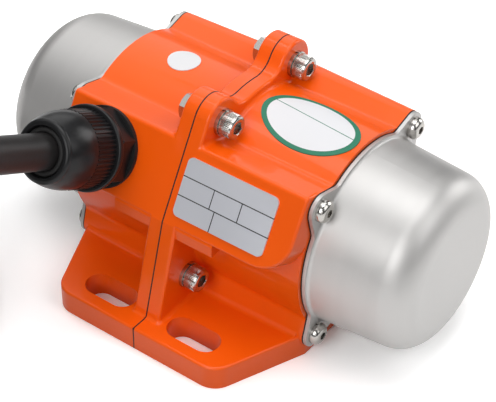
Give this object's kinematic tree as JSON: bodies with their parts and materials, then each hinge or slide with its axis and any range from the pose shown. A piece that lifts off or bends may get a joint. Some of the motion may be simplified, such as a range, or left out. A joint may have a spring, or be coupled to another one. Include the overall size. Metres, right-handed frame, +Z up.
{
  "type": "vibration motor",
  "caption": "Foot-mounted vibration motor: split cast body with a side pad, cable gland and lead, and a deep-drawn cap over the eccentric weights at each shaft end.",
  "frame": {"origin": "middle of the foot's underside, below the middle of the shaft", "axes": "+X along the shaft, towards the half with the bolt heads; +Z up; -Y towards the pad with the gland"},
  "size_m": [0.2514, 0.2536, 0.0974],
  "materials": {
    "orange_paint": "gloss",
    "drawn_stainless": "satin",
    "black_gasket": "matte",
    "stainless_fasteners": "satin",
    "lamination_steel": "matte",
    "enamelled_copper": "satin",
    "cast_aluminium": "matte",
    "bearing_steel": "polished",
    "ground_steel": "satin",
    "plate_aluminium": "satin",
    "label_film": "gloss",
    "black_nylon": "satin",
    "black_sheath": "matte",
    "core_insulation": "satin",
    "tinned_ferrule": "satin"
  },
  "bodies": {
    "motor": {"housing_left": "orange_paint", "housing_right": "orange_paint", "split_gasket": "black_gasket", "end_cap_left": "drawn_stainless", "end_cap_right": "drawn_stainless", "cap_gasket_left": "black_gasket", "cap_gasket_right": "black_gasket", "cap_screws": "stainless_fasteners", "cap_screw_washers": "stainless_fasteners", "flange_bolts": "stainless_fasteners", "flange_nuts": "stainless_fasteners", "flange_bolt_washers": "stainless_fasteners", "stator_core": "lamination_steel", "stator_windings": "enamelled_copper", "bearing_outer_races": "bearing_steel", "rating_plate": "plate_aluminium", "oval_label": "label_film", "round_label": "label_film", "gland_washer": "black_gasket", "gland_body": "black_nylon", "gland_seal": "black_gasket", "gland_nut": "black_nylon", "lead_wires": "core_insulation", "cable": "black_sheath", "cable_coil": "black_sheath", "cable_tie": "black_nylon", "cable_cores": "core_insulation", "core_ferrules": "tinned_ferrule"},
    "rotor": {"shaft": "ground_steel", "rotor_core": "lamination_steel", "rotor_cage": "cast_aluminium", "bearing_inner_races": "bearing_steel", "weight_spacers": "ground_steel", "fixed_weight_left": "ground_steel", "fixed_weight_right": "ground_steel", "weight_keys": "ground_steel", "shaft_circlips": "stainless_fasteners"},
    "bearing_cage_set": {"bearing_balls": "bearing_steel", "bearing_cages": "bearing_steel"},
    "weight_left": {"adjustable_weight_left": "ground_steel", "clamp_screw_left": "stainless_fasteners"},
    "weight_right": {"adjustable_weight_right": "ground_steel", "clamp_screw_right": "stainless_fasteners"}
  },
  "joints": [
    {"name": "rotor_spin", "type": "hinge", "parent": "motor", "child": "rotor", "pos_m": [0, 0, 0.035], "axis": [1, 0, 0], "continuous": true},
    {"name": "bearing_cage_spin", "type": "hinge", "parent": "motor", "child": "bearing_cage_set", "pos_m": [0, 0, 0.035], "axis": [1, 0, 0], "continuous": true},
    {"name": "weight_left_setting", "type": "hinge", "parent": "rotor", "child": "weight_left", "pos_m": [-0.0648, 0, 0.035], "axis": [1, 0, 0], "range_deg": [0, 180]},
    {"name": "weight_right_setting", "type": "hinge", "parent": "rotor", "child": "weight_right", "pos_m": [0.0648, 0, 0.035], "axis": [1, 0, 0], "range_deg": [0, 180]}
  ],
  "couplings": [
    {"joint": "bearing_cage_spin", "follows": "rotor_spin", "ratio": 0.368}
  ]
}
